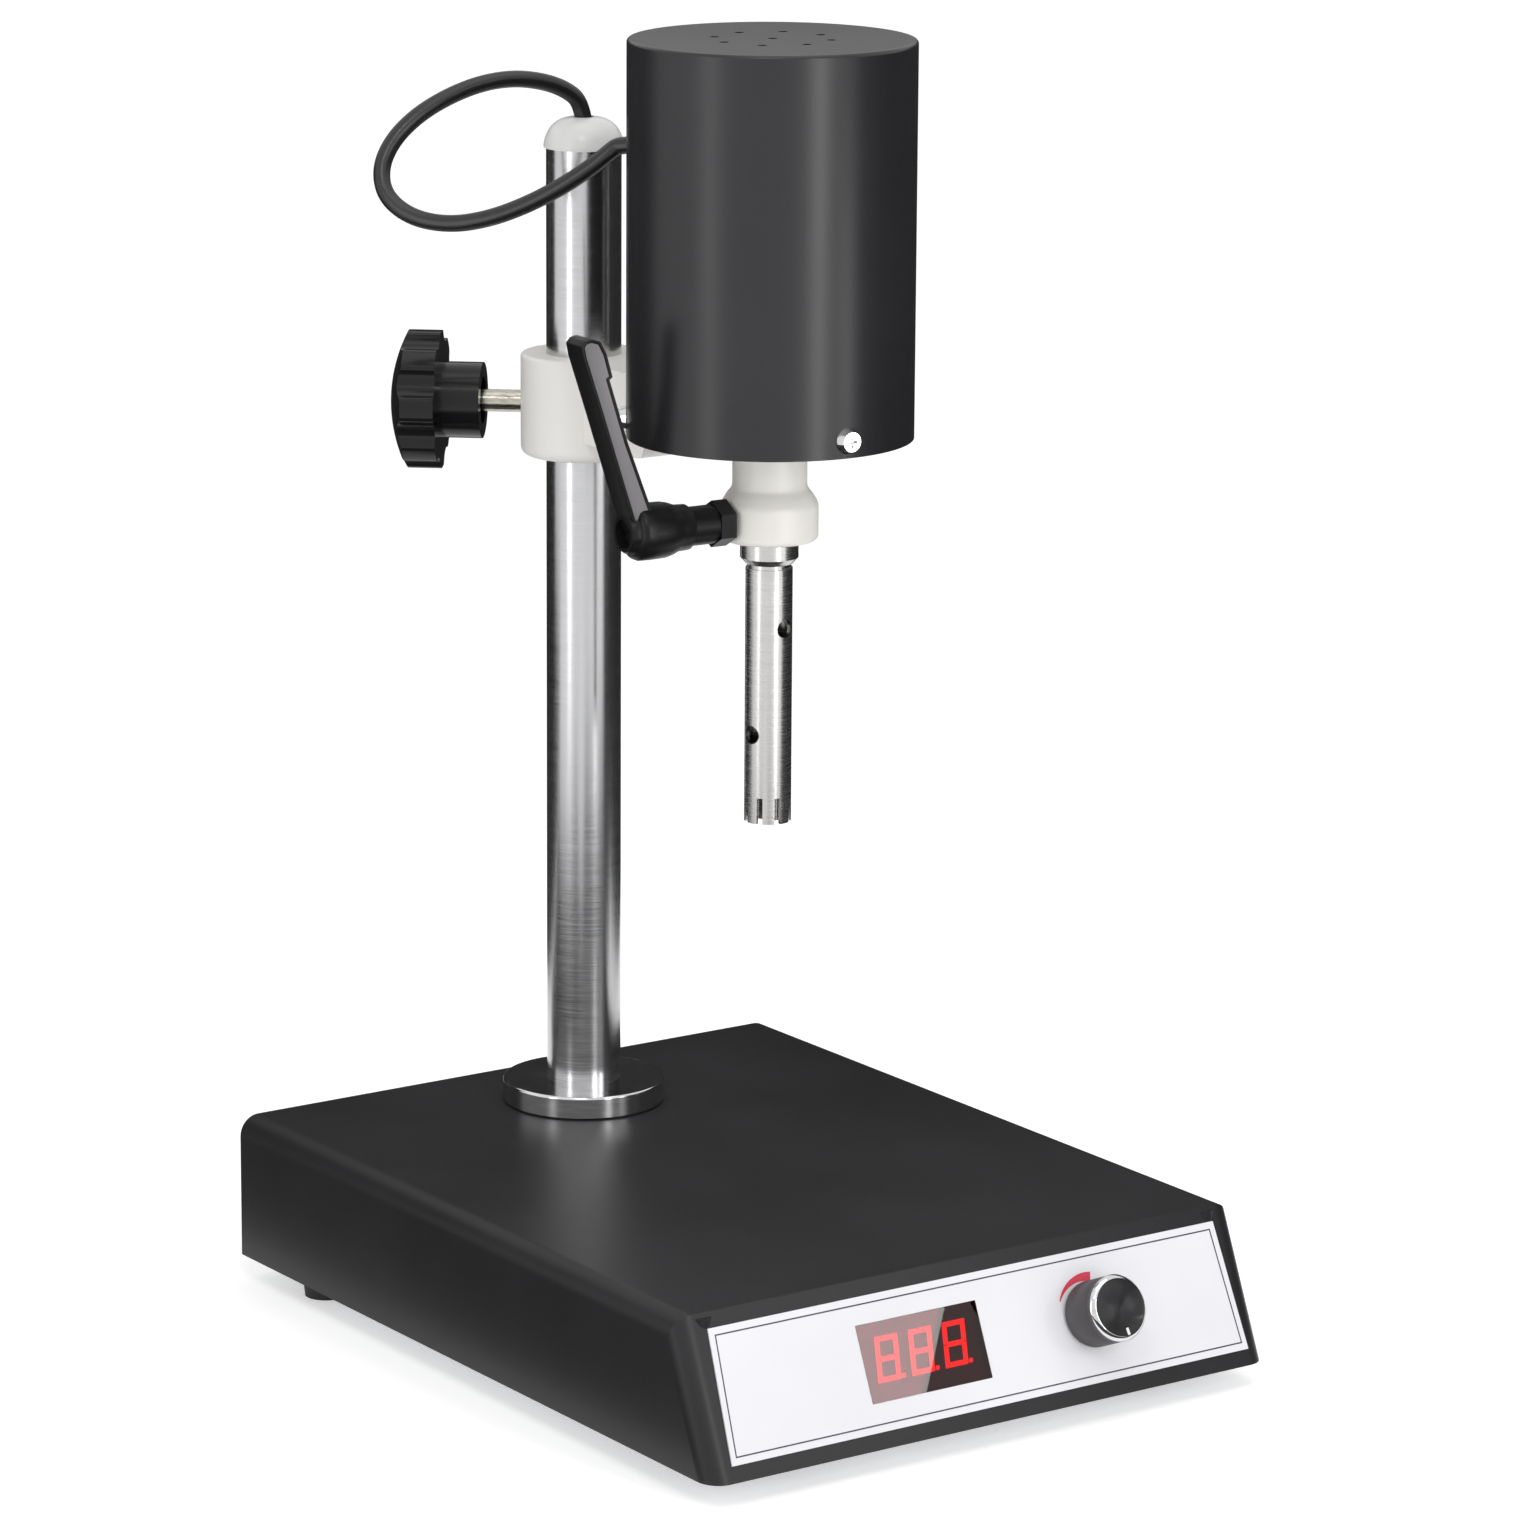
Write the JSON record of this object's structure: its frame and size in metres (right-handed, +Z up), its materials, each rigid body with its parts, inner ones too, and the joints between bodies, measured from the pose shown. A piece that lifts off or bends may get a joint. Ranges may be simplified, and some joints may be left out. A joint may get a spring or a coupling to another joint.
{
  "type": "overhead stirrer",
  "caption": "Digital high-speed overhead stirrer on a column stand: black sheet base with sloping display panel, sliding clamp, motor can, lever chuck and slotted rotor-stator head.",
  "frame": {"origin": "on the bench, under the middle of the whole machine's outline", "axes": "+Z up along the column; -Y is the front, where the sloping panel faces the user; +X to the user's right"},
  "size_m": [0.218, 0.3001, 0.4293],
  "materials": {
    "base_paint": "satin black",
    "label_film": "satin silvery white",
    "red_window": "clear red",
    "led_digits": "lit red digits on black",
    "circuit_board": "solder mask",
    "zinc_steel": "zinc plated",
    "foot_rubber": "matt",
    "black_plastic": "matt",
    "dial_plastic": "satin with a bright inlaid ring",
    "bright_chrome": "polished",
    "polished_steel": "polished",
    "core_iron": "laminated",
    "cap_plastic": "gloss white",
    "cable_rubber": "smooth",
    "warm_white_paint": "satin",
    "warm_white_plastic": "satin",
    "can_paint": "satin charcoal",
    "light_alloy": "turned",
    "copper_wire": "enamelled",
    "stud_brass": "polished",
    "gloss_black": "high gloss",
    "lever_plastic": "satin grained",
    "stainless": "fine turned",
    "bush_plastic": "matt"
  },
  "bodies": {
    "base": {"base_cover": "base_paint", "bottom_plate": "zinc_steel", "cover_screws": "zinc_steel", "rubber_feet": "foot_rubber", "feet_screws": "zinc_steel", "back_panel": "base_paint", "power_inlet": "black_plastic", "front_plate": "label_film", "display_window": "red_window", "display_module": "led_digits", "display_board": "circuit_board", "potentiometer": "zinc_steel", "pot_nut": "zinc_steel", "column_flange": "bright_chrome", "column_support": "zinc_steel", "column_nut": "zinc_steel", "column_tube": "polished_steel", "control_board": "circuit_board", "transformer": "core_iron"},
    "fuse_drawer": {"fuse_drawer": "black_plastic"},
    "dial": {"speed_knob": "dial_plastic", "pot_shaft": "zinc_steel"},
    "column_cap": {"column_cap": "cap_plastic", "motor_cable": "cable_rubber"},
    "carriage": {"clamp_block": "warm_white_paint", "saddle_spacer": "can_paint", "arm_studs": "zinc_steel", "motor_can": "can_paint", "end_plate": "light_alloy", "can_screws": "bright_chrome", "cable_grommet": "cable_rubber", "chuck": "warm_white_plastic", "lower_bracket": "light_alloy", "upper_bracket": "light_alloy", "motor_bearings": "polished_steel", "field_stack": "core_iron", "field_coils": "copper_wire", "brush_holders": "copper_wire", "carbon_brushes": "black_plastic"},
    "clamp_pad": {"clamp_pad": "stud_brass"},
    "clamp_knob": {"star_knob": "gloss_black", "clamp_stud": "stud_brass"},
    "lever_stud": {"lever_insert": "lever_plastic", "lever_screw": "lever_plastic"},
    "lever_handle": {"lever_handle": "lever_plastic"},
    "spindle": {"motor_spindle": "polished_steel", "armature": "core_iron", "windings": "copper_wire", "commutator": "copper_wire", "cooling_fan": "black_plastic", "drive_coupling": "polished_steel"},
    "head": {"head_tube": "stainless", "head_bushes": "bush_plastic"},
    "head_rotor": {"rotor_shaft": "stainless", "rotor_cutter": "stainless"}
  },
  "joints": [
    {"name": "column_swivel", "type": "hinge", "parent": "base", "child": "column_cap", "pos_m": [0, 0.0945, 0.3], "axis": [0, 0, 1], "range_deg": [-90, 90]},
    {"name": "head_lift", "type": "slide", "parent": "column_cap", "child": "carriage", "axis": [0, 0, 1], "range_m": [-0.075, 0.055], "deforming": ["motor_cable"]},
    {"name": "pad_slide", "type": "slide", "parent": "carriage", "child": "clamp_pad", "axis": [-0.766, 0.6428, 0], "range_m": [0, 0.0025]},
    {"name": "clamp_turn", "type": "hinge", "parent": "clamp_pad", "child": "clamp_knob", "pos_m": [0, 0.0945, 0.2972], "axis": [-0.766, 0.6428, 0], "range_deg": [0, 720]},
    {"name": "lever_turn", "type": "hinge", "parent": "carriage", "child": "lever_stud", "pos_m": [0, -0.0135, 0.276], "axis": [-0.9986, 0.0523, 0], "range_deg": [0, 120]},
    {"name": "lever_lift", "type": "slide", "parent": "lever_stud", "child": "lever_handle", "axis": [-0.9986, 0.0523, 0], "range_m": [0, 0.003], "stiffness_N_per_m": 600, "springref_m": -0.002},
    {"name": "motor_spin", "type": "hinge", "parent": "carriage", "child": "spindle", "pos_m": [0, -0.0135, 0.35], "axis": [0, 0, 1], "continuous": true},
    {"name": "head_release", "type": "slide", "parent": "carriage", "child": "head", "axis": [0, 0, -1], "range_m": [0, 0.03]},
    {"name": "head_spin", "type": "hinge", "parent": "head", "child": "head_rotor", "pos_m": [0, -0.0135, 0.2], "axis": [0, 0, 1], "continuous": true},
    {"name": "speed_turn", "type": "hinge", "parent": "base", "child": "dial", "pos_m": [0.04395, -0.13119, 0.03266], "axis": [0, -0.9173, 0.3982], "range_deg": [0, 300]},
    {"name": "fuse_pull", "type": "slide", "parent": "base", "child": "fuse_drawer", "axis": [0, 1, 0], "range_m": [0, 0.012]}
  ],
  "couplings": [
    {"joint": "pad_slide", "follows": "clamp_turn", "m_per_rad": 0.00019894},
    {"joint": "head_spin", "follows": "motor_spin", "ratio": 1}
  ]
}
